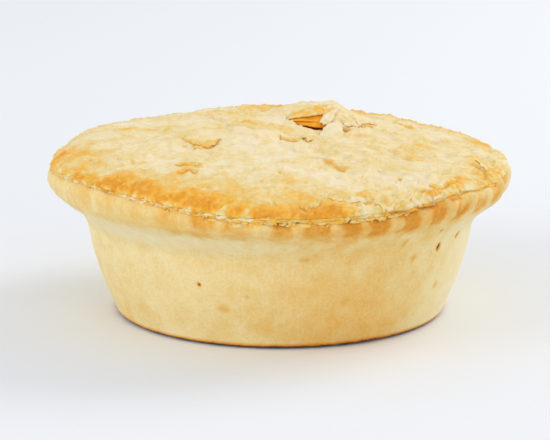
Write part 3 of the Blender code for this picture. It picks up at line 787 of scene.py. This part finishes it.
def makeCase():
    piece = drawCase()
    points = pointsOf(piece)
    angle, radius = turnsOf(points)
    plainHeight = points[:, 2]
    isInner = (plainHeight > 34 * mm) & (radius < case["seamInner"] - 0.1 * mm)
    hollow, number = fluteHollow(angle + np.radians(roughen(points, *case["headingWarp"])))
    uneven = np.array([0.85 + 0.5 * noise.noise(Vector((n * 1.7, 3.1, 0))) for n in number])
    onFlutes = smoothStep(case["fluteFoot"] - 2.5 * mm, case["fluteFoot"] + 2 * mm, plainHeight)
    press = case["fluteDepth"] * hollow**0.6 * uneven * byHeading(angle, case["press"]) * onFlutes
    fadeIn = mmStep(53.5, 56, radius)  # no hollows on the flat top under the lid

    onWall = mmStep(0, 5, plainHeight) * mmStep(36, 40, radius)
    rough = sum(roughen(points, *case[bumps]) for bumps in ("waves", "ripples", "grain"))
    folds = roughen(points * (1, 1, case["foldStretch"]), *case["folds"])
    folds *= mmStep(23, 28, plainHeight) * (1 - mmStep(33, 34.8, plainHeight))
    specks = wallSpecks(angle, radius, plainHeight)
    fuller = sumNear(angle, case["fuller"]) * bell(plainHeight, 30.2 * mm, 2.5 * mm)
    # at the left the rim's underside is nearly flat, so the wall runs up further before it turns out
    fuller += sumNear(angle, case["undercut"]) * bell(plainHeight, 28.1 * mm, 1.4 * mm)
    shift = rough * onWall * (1 - isInner) - press * np.where(plainHeight > 34 * mm, fadeIn, 1)
    shift += (fuller + case["foldHeight"] * folds - case["speckDepth"] * specks) * onWall
    onRim = smoothStep(29.5 * mm, case["lipHeight"], plainHeight)
    knuckles = collar(angle, radius) * (0.65 + 0.6 * (1 - hollow))
    outerHeight = plainHeight + (rimLift(angle) + knuckles) * onRim
    height = np.where(isInner, seamHeight(radius) + rimLift(angle, radius), outerHeight)
    radius = radius + shift
    setPoints(piece, roundPoints(angle, radius, height))

    # how brown each place baked: first the wall
    patches = roughen(points, *case["patches"])
    spots = roughen(points, *case["spots"])
    lower = 1 - mmStep(4, 24, height)
    # under the rim the wall is painted paler: painted light where the rim's shade falls
    underRim = mmStep(24, 28, height) * (1 - mmStep(29, 32, height))
    brownSide = (0.5 + 0.5 * np.cos(angle - case["brownSide"])) ** 1.6
    wall = 0.18 + 0.08 * patches + 0.26 * brownSide * (0.63 + 0.32 * lower) + 0.02 * lower - 0.04 * underRim
    wall += sumNear(angle, case["wallTones"]) + sumNear(angle, case["lowTones"]) * lower
    wall += sumNear(angle, case["underRimPaintedLight"]) * underRim

    # then the hollows, darkest just under the fringe where painted shadow darkens them, and at the right
    # paler again, and the ribs
    foot = roughen(points, *case["hollowFoot"]) + sumNear(angle, case["lowHollows"])
    inFlute = mmStep(28.3, 31.2, plainHeight + foot)
    middle = smoothStep(0.05, 0.75, hollow + 0.15 * patches + 0.1 * spots)
    fluted = inFlute * middle * byHeading(angle, case["bake"]) * 0.52 * uneven * (1 + 0.6 * spots)
    fluted *= 1 + byHeading(angle, case["underFringeShade"]) * mmStep(32.2, 34.2, plainHeight)
    rib = mmStep(28.5, 31, plainHeight) * (1 - middle) * sumNear(angle, case["paleRibs"])
    golden = mmStep(28, 33, plainHeight) * byHeading(angle, case["rimTone"])
    baked = np.clip(wall + fluted + golden - rib - 0.1 * folds, 0, 0.84)
    # the base's edge: partly browned crust, partly painted contact shadow
    baked += 0.85 * (1 - smoothStep(*case["baseBrownAndShade"], height))
    # painted warm shade: the top under the lid's edge is painted deep gold
    hidden = 1 - mmStep(55, 56, radius + 1.3 * edgeDrawBack(angle))
    hidden *= plainHeight > 34.4 * mm
    baked = blend(blend(baked, 1, specks), case["hiddenShadeTone"], hidden)
    addAttributes(piece, browning=np.clip(baked, 0, 1))
    return piece


# Loose flakes: torn sheets of pastry that stand up from the lid

# what a flake has unless its entry says otherwise: how far its free edge stands off the lid, how high it
# arches and how thick it is, in mm, how ragged it is, whether its rim is like its top, and how deep it lies
flakeForm = {"lift": 0, "arch": 0, "thick": 0.3, "rag": 1, "soft": False, "deep": 0}

# each flake: its free and its fixed edge as x, y (and height, where the lid has a hole) in mm, how browned
# it is at the fixed and at the free edge, and a seed
lidFlakes = (
    # behind the long slit at the left
    {
        "free": ((-23, -11.6), (-21, -12.4), (-19.3, -13.4), (-17.6, -13.4), (-15.8, -11.2), (-14.6, -8.4)),
        "fixed": ((-25, -7), (-22, -3.5), (-19, -2.5), (-17, -2), (-15.2, -2.5), (-13.6, -4.5)),
        "lift": 0.4, "brown": (0.5, 0.62), "rag": 0.3, "seed": 1,
    },
    {
        "free": ((-26.2, -29.2), (-24.6, -27.4), (-23, -26.4), (-20.6, -28), (-17.8, -32)),
        "fixed": ((-26.6, -24.5), (-24.6, -22.5), (-22.4, -22), (-19.6, -23.5), (-16.6, -27.5)),
        "lift": 0.15, "brown": (0.4, 0.6), "rag": 0.3, "soft": True, "seed": 2,
    },
    {
        "free": ((-25.4, -37.4), (-23.6, -33.8), (-21.9, -31), (-20.6, -33), (-19.2, -36)),
        "fixed": ((-26, -32), (-24, -30), (-22, -28.8), (-20, -29.8), (-18.2, -32.5)),
        "lift": 0.15, "brown": (0.4, 0.6), "rag": 0.3, "soft": True, "seed": 3,
    },
    # along the front of the lid
    {
        "free": ((10.6, -51.6), (13, -51), (15.4, -50.2), (17.6, -50.4), (19.8, -49.4), (22.4, -49.2)),
        "fixed": ((10, -46.5), (13, -46), (16, -45.5), (18, -45), (20, -44.5), (22.5, -44.5)),
        "lift": 0.1, "brown": (0.15, 0.2), "seed": 4,
    },
    {
        "free": ((3.6, -55.2), (5.4, -54.8), (7, -54.3), (8.6, -53.6), (10.6, -51.8)),
        "fixed": ((3, -51), (5, -50.5), (7, -50), (9, -49), (11, -47.5)),
        "lift": 0.05, "thick": 0.25, "brown": (0.3, 0.5), "seed": 5,
    },
    {
        "free": ((22.2, -51.9), (24.4, -50.9), (27, -50.1), (29.4, -49.6), (31.2, -49)),
        "fixed": ((21.6, -47.5), (24, -46.5), (26.5, -46), (28.6, -45.2), (30.4, -44.6)),
        "lift": 0.3, "brown": (0.2, 0.15), "seed": 7,
    },
    {
        "free": ((32.2, -47.6), (34, -46.6), (35.8, -45.4), (37, -43.8)),
        "fixed": ((31, -43.6), (32.6, -42.6), (34.2, -41.6), (35.4, -40.4)),
        "lift": 0.5, "brown": (0.2, 0.08), "seed": 8,
    },
    # small ones in the middle
    {
        "free": ((-0.6, 0.2), (1.6, -1.6), (3.4, -2.6), (5.6, -2.2)),
        "fixed": ((0, 4.6), (2, 3.8), (3.8, 3), (5.6, 3)),
        "lift": 0.4, "thick": 0.25, "brown": (0.3, 0.6), "rag": 0.4, "soft": True, "seed": 9,
    },
    {
        "free": ((5, 3), (6.4, 0.8), (7.9, -2)),
        "fixed": ((6.2, 5.4), (8, 3.6), (9.6, 1.2)),
        "lift": 0.35, "thick": 0.25, "brown": (0.25, 0.4), "seed": 10,
    },
    {
        "free": ((9.4, -17.6), (10.6, -20.4), (11.8, -23.6), (13.4, -26), (15.6, -28.4)),
        "fixed": ((6.4, -16.5), (7.6, -19.6), (8.8, -22.6), (10.6, -25.2), (13, -27.6)),
        "lift": 0.3, "thick": 0.25, "brown": (0.3, 0.6), "soft": True, "seed": 11,
    },
    {
        "free": ((46.6, -13.4), (48.6, -15.6), (49.6, -18.6), (50.2, -21.6)),
        "fixed": ((49, -10.6), (50.8, -13), (51.6, -16), (51.8, -19)),
        "lift": 0.2, "brown": (0.2, 0.3), "seed": 12,
    },
    # the roof of the burst blister, in three sheets, each one behind and above the last
    {
        "free": ((1.6, 21, 42.9), (5, 20.8, 43.9), (8, 20.6, 44.4), (10.6, 21, 44.7), (13.2, 22.2, 45)),
        "fixed": ((0.6, 26.6), (4.6, 28), (8, 28.5), (11, 28.5), (14.4, 27.5)),
        "arch": 0.4, "brown": (0.4, 0.55), "rag": 0.5, "soft": True, "seed": 13,
    },
    {
        "free": (
            (-1.5, 23, 42.6), (2.2, 22.6, 43.6), (6, 22.4, 44.5), (9.6, 22.6, 44.9), (12.6, 23.6, 45.3),
        ),
        "fixed": ((-4, 30), (1, 31.5), (6, 32), (11, 32), (15.6, 30.5)),
        "arch": 0.4, "brown": (0.35, 0.5), "rag": 0.6, "soft": True, "seed": 14,
    },
    {
        "free": ((1.6, 25.6, 43.9), (5.6, 24.8, 44.9), (9, 24.4, 45.4), (12, 25, 45.9), (14.6, 26.8, 46.3)),
        "fixed": ((0, 34), (4, 35), (9, 35), (12.4, 34.5), (15.4, 33)),
        "arch": 0.3, "brown": (0.3, 0.5), "soft": True, "seed": 15,
    },
    # the back of the opening, and a fold across it
    {
        "free": ((2, 20.6, 42.2), (4.6, 19.4, 42.3), (7.4, 18.2, 42.2), (10, 17.6, 42), (12.6, 18.6, 42)),
        "fixed": ((1.4, 22, 42.8), (5, 22, 43.7), (8, 21.8, 44.2), (10.6, 22.2, 44.5), (13.4, 23.2, 44.8)),
        "thick": 0.4, "brown": (0.9, 0.9), "deep": 0.9, "rag": 0.3, "soft": True, "seed": 16,
    },
    {
        "free": (
            (2.8, 20.2, 42.9), (5.6, 19.4, 43.1), (8.4, 18.9, 43.1), (10.6, 18.9, 43), (12.6, 19.8, 43),
        ),
        "fixed": (
            (2.8, 21.8, 43.1), (5.6, 21.8, 43.5), (8.4, 21.8, 43.7), (10.6, 22, 43.8), (12.8, 22.6, 43.8),
        ),
        "thick": 0.25, "brown": (0.9, 0.8), "deep": 0.75, "rag": 0.5, "soft": True, "seed": 17,
    },
    # a pale strip that bridges the right of the opening
    {
        "free": ((10, 17.6, 42.8), (11.2, 16.8, 42.7), (12.6, 17.4, 42.9), (13.4, 19, 43.4)),
        "fixed": ((11.4, 22.4, 44.9), (12.4, 22.8, 45.1), (13.4, 23.2, 45.2), (14.8, 23.8, 45.1)),
        "arch": 0.4, "brown": (0.2, 0.02), "seed": 18,
    },
    # a pale lobe in front of it, its far edge free
    {
        "free": (
            (10.9, 12.4, 42.9), (12, 14, 43.4), (13.4, 14.8, 43.6), (14.8, 14, 43.4), (15.8, 12, 42.9),
        ),
        "fixed": ((9.6, 7.6), (11.4, 5.6), (13.2, 4.8), (15, 5.6), (16.6, 7.6)),
        "arch": 0.2, "brown": (0.15, 0), "seed": 19,
    },
    # the plate at its right, and the flap over the slit there
    {
        "free": ((15.6, 17.4), (16.8, 15.8), (18.4, 15), (19.8, 15.8), (20.6, 17.4)),
        "fixed": ((15.4, 23.4), (17, 24.4), (18.6, 24.4), (20, 23.4), (21, 21.8)),
        "lift": 0.25, "arch": 0.2, "brown": (0.12, 0.05), "seed": 20,
    },
    {
        "free": ((18.8, 20.6), (21, 19.8), (22.8, 19.4), (24.8, 19.2)),
        "fixed": ((18.6, 25.4), (21, 25.6), (23, 24.8), (25.4, 23.6)),
        "lift": 0.25, "brown": (0.3, 0.2), "seed": 21,
    },
)


def curveThrough(points, shares):
    # a smooth line through the given points, read at each share of its length
    p = np.array(points, float)
    p = np.vstack([2 * p[0] - p[1], p, 2 * p[-1] - p[-2]])
    place = np.clip(np.asarray(shares) * (len(points) - 1), 0, len(points) - 1 - 1e-9)
    i = place.astype(int)
    t = (place - i)[:, None]
    a, b, c, d = p[i], p[i + 1], p[i + 2], p[i + 3]
    return 0.5 * (2 * b + (c - a) * t + (2 * a - 5 * b + 4 * c - d) * t**2 + (3 * b - a - 3 * c + d) * t**3)


def dropOnto(tree, x, y):
    # the place on the lid straight below, or None beside the lid
    return tree.ray_cast(Vector((x, y, 0.1)), Vector((0, 0, -1)))[0]


def makeFlake(flake, lidTree, lidPoints, lidBrowning, material, underside):
    # a grid stretched from the fixed edge to the free one, made uneven, and given its thickness
    flake = {**flakeForm, **flake}
    deselectAll()
    bpy.ops.mesh.primitive_grid_add(x_subdivisions=44, y_subdivisions=22, size=2)
    piece = bpy.context.object
    s, t, _ = (pointsOf(piece).T + 1) / 2  # t is 0 at the fixed edge and 1 at the free one
    seed = flake["seed"] * 3.7
    free, fixed = flake["free"], flake["fixed"]
    onLid = len(free[0]) == 2
    if len(free[0]) > len(fixed[0]):
        fixed = [(x, y, dropOnto(lidTree, x * mm, y * mm).z / mm - 0.35) for x, y in fixed]
    free, fixed = curveThrough(free, s) * mm, curveThrough(fixed, s) * mm
    ragPlace = np.stack([s * 40, t * 4, np.full_like(s, seed)], axis=1) * 0.25
    ends = np.clip(np.minimum(s, 1 - s) / 0.2, 0, 1) ** 0.5
    rag = 1 + 0.12 * flake["rag"] * roughen(ragPlace, 1, 1, seed, 4) * t**3
    reach = t * rag * (ends if onLid else 1)
    points = fixed + (free - fixed) * reach[:, None]
    surface = np.full_like(s, 36 * mm)
    ownBrowning = np.full_like(s, 0.3)
    for i, place in enumerate(points):
        hit = dropOnto(lidTree, place[0], place[1])
        if hit:
            surface[i] = hit.z
            ownBrowning[i] = lidBrowning[lidPoints.find(hit)[1]]
    if onLid:
        stand = (flake["lift"] + 0.12) * t**2.2 * ends - 0.3 * (1 - t) ** 2 - 0.2 * (1 - ends)
        points = np.column_stack([points, surface + stand * mm])
    points[:, 2] += flake["arch"] * mm * np.sin(math.pi * t) * np.sin(math.pi * s)
    wrinkles = roughen(points, 1.7 * mm, 0.16 * mm, seed, 3)
    wrinkles += roughen(points, 4.5 * mm, 0.25 * mm, seed + 1)
    points[:, 2] += wrinkles * np.minimum(1, 3 * t)
    points[:, 0] += flake["rag"] * roughen(points, 2.5 * mm, 0.5 * mm, seed + 3, 3) * t
    setPoints(piece, points)

    back, front = flake["brown"]
    tone = blend(ownBrowning if onLid else back, front, smoothStep(0.35, 0.95, t))
    tone += 0.25 * roughen(points, 1.6 * mm, 1, seed + 2, 3) * smoothStep(0.2, 0.5, t)
    torn = 0.5 * smoothStep(0.86, 1, t) * (flake["deep"] == 0)
    deep = flake["deep"] * np.clip(0.9 + 0.5 * wrinkles / (0.3 * mm), 0, 1)
    addAttributes(piece, browning=np.clip(tone, 0, 1), torn=torn, deep=deep)
    if sum(face.normal.z for face in piece.data.polygons) < 0:
        piece.data.flip_normals()  # the upper side is the one that shows
    piece.data.materials.append(material)
    piece.data.materials.append(underside)
    # the underside, and the rim unless the flake is soft, get the underside material: painted warm shade
    thicken(piece, flake["thick"] * mm, -1, 1, 0 if flake["soft"] else 1)
    faceOutward(piece)
    return piece


# The ragged fringe: slivers and crumbs of pastry all round the lid's edge

fringe = {
    "count": 520,
    "seed": 5,
    # how many there are in each part of the edge: from, to, share
    "parts": ((-180, -122, 0.3), (-122, -55, 0.42), (-55, 0, 0.05), (0, 180, 0.24)),
    "lengths": (0.8, 1.1, 1.5, 2.0, 2.8),  # in mm
    # longer slivers, listed one by one: heading, height above the lid's lower edge, length, turn in the
    # surface
    "slivers": (
        (-136.5, 0.2, 4.6, -10), (-133, 0, 4.8, -16), (-127.5, 0.3, 5.2, -8), (-124.5, 0, 5.6, -10),
        (-119, 0.2, 4, -6), (-113, 0, 3.6, -4), (-106, 0.3, 2.4, 2), (-100.5, 0.1, 3.6, 2),
        (-92, 0.3, 2.6, 3), (-84, 0.1, 2.8, -4), (-76.5, 0.1, 3.8, 5), (-68.5, 0.3, 2.8, 4),
        (-61.5, 0.4, 4.8, 7), (-56.5, 0.7, 4.4, 12), (-51, 1, 3.8, 16), (-150, 0, 3.2, -6),
        (-158, 0.3, 3, 4), (-146, 0.7, 2.6, -14), (-141, 0.5, 3.4, -12), (-137.5, 0.9, 3, -20),
        (-130, 0.7, 3.6, -14), (-126, 0.9, 3, -6), (-122, 0.6, 3.2, -12), (-116, 0.8, 2.8, -10),
        (-110, 0.6, 2.6, 0), (-104, 0.7, 2.4, 4),
    ),
    "standing": 62,  # the lower ones stand this steeply, in degrees,
    "lying": 40,  # and those on the shoulder lie this much flatter
    "paleShare": 0.75,  # how many have the paler of the two tones
    "paleTone": (0.42, 0.62),
    "deepTone": (0.62, 0.8),
    # their undersides are painted deep gold: painted warm shade, as if light glowed through the thin pastry
    "underShadeTone": 0.9,
}


def makeSliver():
    # one flake of length 1: a small curved sheet with pointed ends, and which of its points lie underneath
    deselectAll()
    bpy.ops.mesh.primitive_grid_add(x_subdivisions=5, y_subdivisions=2, size=1)
    piece = bpy.context.object
    x, y, _ = pointsOf(piece).T
    y = y * np.sqrt(np.clip(1 - (1.9 * x) ** 2, 0.02, 1))
    setPoints(piece, np.column_stack([x, y, 0.16 * x * x - 0.35 * y * y + 0.05 * np.sin(9 * x)]))
    thicken(piece, 0.16, 0)
    heights = pointsOf(piece)[:, 2]
    other = np.roll(heights, len(x))  # the same place on the other side of the sheet
    return piece, heights < other


def makeFringe(material):
    sliver, under = makeSliver()
    plain = pointsOf(sliver)
    draw = random.Random(fringe["seed"])
    places = []
    for first, last, share in fringe["parts"]:
        for _ in range(int(fringe["count"] * share)):
            heading = draw.uniform(first, last)
            length = draw.choice(fringe["lengths"]) * draw.uniform(0.8, 1.2)
            width = draw.uniform(0.6, 1.3)
            up = draw.uniform(-0.15, 1.15)
            turn = draw.gauss(0, 16)
            places.append((heading, length, width, up, turn, draw.gauss(0, 16), draw.uniform(-0.1, 0.25)))
    for heading, up, length, turn in fringe["slivers"]:
        places.append((heading, length, 1.1, up, turn, draw.gauss(0, 8), 0.3))

    pieces = []
    for heading, length, width, up, turn, tilt, out in places:
        angle, spin = math.radians(heading), math.radians(turn)
        onShoulder = max(up, 0)
        steep = math.radians(fringe["standing"] - fringe["lying"] * onShoulder + tilt)
        radius = lid["shoulderRadius"] + (0.45 + out - 0.5 * onShoulder) * mm - edgeDrawBack(angle)
        thick = byHeading(angle, lid["lip"]) * mm
        height = lid["shoulderHeight"] + rimLift(angle) - thick * (1 - up)
        x, y, z = (plain * (length, width, width) * mm).T
        x, y = x * math.cos(spin) - y * math.sin(spin), x * math.sin(spin) + y * math.cos(spin)
        inward = z * math.sin(steep) - y * math.cos(steep)
        upward = z * math.cos(steep) + y * math.sin(steep)
        copy = sliver.copy()
        copy.data = sliver.data.copy()
        bpy.context.collection.objects.link(copy)
        setPoints(copy, roundPoints(angle + x / radius, radius + inward, height + upward))
        tones = fringe["paleTone"] if draw.random() < fringe["paleShare"] else fringe["deepTone"]
        tone = draw.uniform(*tones) + 0.25 * smoothStep(0.6, 1, up)  # the shoulder's are as brown as it is
        # painted warm shade on the undersides
        tone = np.where(under, fringe["underShadeTone"], tone)
        torn = np.where(under, 0, draw.uniform(0, 0.1))
        addAttributes(copy, browning=tone, torn=torn, deep=np.zeros(len(plain)))
        copy.data.materials.append(material)
        pieces.append(copy)
    bpy.data.objects.remove(sliver)
    piece = joinPieces(pieces, "fringeFlakes")
    faceOutward(piece)
    return piece


# Materials


def startMaterial(name):
    material = bpy.data.materials.new(name)
    material.use_nodes = True
    tree = material.node_tree
    return material, tree, tree.nodes["Principled BSDF"]


def setStops(ramp, stops):
    for i, (at, colour) in enumerate(stops):
        stop = ramp.color_ramp.elements[i] if i < 2 else ramp.color_ramp.elements.new(at)
        stop.position = at
        stop.color = hexColour(colour)


# flaky pastry, rolled in layers and egg washed before baking: a soft broken sheen, cream to deep gold
flakyPastryFinish = {
    "ramp": (
        (0, "#F3E4C2"), (0.2, "#EFDCAA"), (0.4, "#EBCE85"), (0.6, "#EFBB48"), (0.8, "#F1B132"),
        (1, "#E69B21"),
    ),
    # what lies over that, by its attribute: how strongly, and its colour
    # the deep cover is the orange inside of the burst blister, made brighter: partly its own colour, partly
    # painted light in the shaded opening
    "covers": (("torn", 0.5, "#F2DDAC"), ("deep", 1, "#FAB028")),
    # noise: width of a patch, detail, roughness, and how much it changes the browning
    "blotches": (3.2 * mm, 4, 0.6, 0.8),
    "specks": (1.1 * mm, 3, 0.65, 0.55),
    # the same for the relief, with its strength, and how deep it is
    "grain": (0.7 * mm, 4, 0.6, 0.6),
    "grainDepth": 0.22 * mm,
    "roughness": 0.5,
    "refraction": 1.45,
    "shine": 0.25,
}

# shortcrust, pressed into a tin and baked dry: matt and fine grained, pale gold with browner blotches
shortcrustFinish = {
    "ramp": (
        (0, "#F4E6BE"), (0.25, "#EEDAA2"), (0.45, "#E9C77E"), (0.65, "#E6B055"), (0.85, "#DC9430"),
        (0.94, "#CC842E"), (1, "#5C4226"),
    ),
    "covers": (),
    "blotches": (3.5 * mm, 4, 0.6, 0.35),
    "specks": (0.65 * mm, 3, 0.65, 0.36),
    "grain": (0.6 * mm, 4, 0.65, 0.5),
    "grainDepth": 0.13 * mm,
    "roughness": 0.65,
    "refraction": 1.4,
    "shine": 0.2,
}


def makeCrust(name, look, scatter=0):
    # the piece's own browning, made uneven by noise, picks the colour
    material, tree, shader = startMaterial(name)
    place = addNode(tree, "ShaderNodeTexCoord", {}, {}).outputs["Object"]
    tone = addNode(tree, "ShaderNodeAttribute", {"attribute_name": "browning"}, {}).outputs["Fac"]
    for layer in ("blotches", "specks", "grain"):
        size, detail, rough, strength = look[layer]
        inputs = {"Vector": place, "Scale": 1 / size, "Detail": detail, "Roughness": rough}
        pattern = addNode(tree, "ShaderNodeTexNoise", {}, inputs).outputs["Fac"]
        if layer == "grain":
            inputs = {"Strength": strength, "Distance": look["grainDepth"], "Height": pattern}
            bump = addNode(tree, "ShaderNodeBump", {}, inputs).outputs["Normal"]
        else:
            inputs = {0: pattern, 1: strength, 2: tone}
            tone = addNode(tree, "ShaderNodeMath", {"operation": "MULTIPLY_ADD"}, inputs).outputs[0]
    inputs = {0: tone, 1: -0.5 * (look["blotches"][3] + look["specks"][3])}  # the mean of the noise
    tone = addNode(tree, "ShaderNodeMath", {"operation": "ADD"}, inputs).outputs[0]
    ramp = addNode(tree, "ShaderNodeValToRGB", {}, {"Fac": tone})
    setStops(ramp, look["ramp"])
    colour = ramp.outputs["Color"]
    for attribute, strength, code in look["covers"]:
        share = addNode(tree, "ShaderNodeAttribute", {"attribute_name": attribute}, {}).outputs["Fac"]
        inputs = {0: share, 1: strength}
        share = addNode(tree, "ShaderNodeMath", {"operation": "MULTIPLY"}, inputs).outputs[0]
        inputs = {0: share, 6: colour, 7: hexColour(code)}
        colour = addNode(tree, "ShaderNodeMix", {"data_type": "RGBA"}, inputs).outputs[2]
    finish = {
        "Base Color": colour,
        "Normal": bump,
        "Roughness": look["roughness"],
        "IOR": look["refraction"],
        "Specular IOR Level": look["shine"],
        "Subsurface Weight": scatter,  # light passes a little way into the crust
        "Subsurface Radius": (1, 0.55, 0.25),
        "Subsurface Scale": 1 * mm,
    }
    setInputs(tree, shader, finish)
    return material


# the inner side of a lifted flake: a deep even gold, painted warm shade that stands in for light glowing
# through the thin pastry
undersideFinish = {
    "ramp": ((0.3, "#E8B252"), (0.7, "#DE9C34")),
    "patchSize": 1.5 * mm,
    "roughness": 0.55,
    "shine": 0.2,
}


def makeUnderside():
    look = undersideFinish
    material, tree, shader = startMaterial("flake underside painted with warm shade")
    place = addNode(tree, "ShaderNodeTexCoord", {}, {}).outputs["Object"]
    inputs = {"Vector": place, "Scale": 1 / look["patchSize"], "Detail": 3}
    patches = addNode(tree, "ShaderNodeTexNoise", {}, inputs).outputs["Fac"]
    ramp = addNode(tree, "ShaderNodeValToRGB", {}, {"Fac": patches})
    setStops(ramp, look["ramp"])
    finish = {
        "Base Color": ramp.outputs["Color"],
        "Roughness": look["roughness"],
        "Specular IOR Level": look["shine"],
    }
    setInputs(tree, shader, finish)
    return material


# Floor, light and camera

studio = {
    "floorColour": "#EBEEF2",
    "worldColour": "#F4F5F8",
    "worldStrength": 0.79,
    "cameraPlace": (-1.2 * mm, -764 * mm, 207.6 * mm),
    "cameraTilt": math.radians(90 - 13.66),
    "lens": 206.2,
    "lightAim": (0, 0, 30 * mm),
    # name, place, size, power, colour
    "lights": (
        ("keySoftbox", (0.71, 0.46, 0.62), 0.6, 3.9, "#FFFDF8"),
        ("fillSoftbox", (-0.9, -0.5, 0.48), 0.9, 4.3, "#FBFCFF"),
        ("lowReflector", (0.5, -0.85, 0.27), 0.5, 1.3, "#FBFCFF"),
    ),
}


def makeStudio():
    deselectAll()
    bpy.ops.mesh.primitive_plane_add(size=6)
    floor = bpy.context.object
    floor.name = "paleFloor"
    material, tree, shader = startMaterial("matt white paper sweep")  # even and soft, with no shine
    finish = {"Base Color": hexColour(studio["floorColour"]), "Roughness": 0.9, "Specular IOR Level": 0.1}
    setInputs(tree, shader, finish)
    floor.data.materials.append(material)

    world = bpy.data.worlds.new("softRoom")
    world.use_nodes = True
    light = {"Color": hexColour(studio["worldColour"]), "Strength": studio["worldStrength"]}
    setInputs(world.node_tree, world.node_tree.nodes["Background"], light)
    bpy.context.scene.world = world

    for name, place, size, power, colour in studio["lights"]:
        bpy.ops.object.light_add(type="AREA", location=place)
        light = bpy.context.object
        light.name = name
        light.data.shape = "DISK"
        light.data.size = size
        light.data.energy = power
        light.data.color = hexColour(colour)[:3]
        aim = Vector(studio["lightAim"]) - Vector(place)
        light.rotation_euler = aim.to_track_quat("-Z", "Y").to_euler()

    bpy.ops.object.camera_add(location=studio["cameraPlace"], rotation=(studio["cameraTilt"], 0, 0))
    camera = bpy.context.object
    camera.data.lens = studio["lens"]
    camera.data.sensor_width = 36
    camera.data.clip_start = 0.01
    bpy.context.scene.camera = camera
    bpy.context.scene.view_settings.view_transform = "Standard"
    print("studio ready")


makeStudio()
thinFlakes = makeCrust("loose flakes of pastry", flakyPastryFinish)
warmShadeUnderside = makeUnderside()
flakyLid = makeLid()
flakyLid.data.materials.append(makeCrust("egg washed flaky pastry", flakyPastryFinish, 0.3))
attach(flakyLid, "root")
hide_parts("pastry_lid")
print("lid ready:", len(flakyLid.data.vertices), "points")

lidTree = BVHTree.FromObject(flakyLid, bpy.context.evaluated_depsgraph_get())
lidPoints = KDTree(len(flakyLid.data.vertices))
for vertex in flakyLid.data.vertices:
    lidPoints.insert(vertex.co, vertex.index)
lidPoints.balance()
lidBrowning = np.empty(len(flakyLid.data.vertices))
flakyLid.data.attributes["browning"].data.foreach_get("value", lidBrowning)
lidParts = (lidTree, lidPoints, lidBrowning)
flakes = [makeFlake(flake, *lidParts, thinFlakes, warmShadeUnderside) for flake in lidFlakes]
looseFlakes = joinPieces(flakes, "looseFlakes")
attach(looseFlakes, "root")
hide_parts("pastry_lid")

fringeFlakes = makeFringe(thinFlakes)
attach(fringeFlakes, "root")
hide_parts("pastry_lid")
print("flakes ready:", len(looseFlakes.data.vertices), "and", len(fringeFlakes.data.vertices), "points")

shortcrustCase = makeCase()
shortcrustCase.data.materials.append(makeCrust("baked shortcrust", shortcrustFinish))
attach(shortcrustCase, "root")
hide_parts("pastry_case")
print("case ready:", len(shortcrustCase.data.vertices), "points")
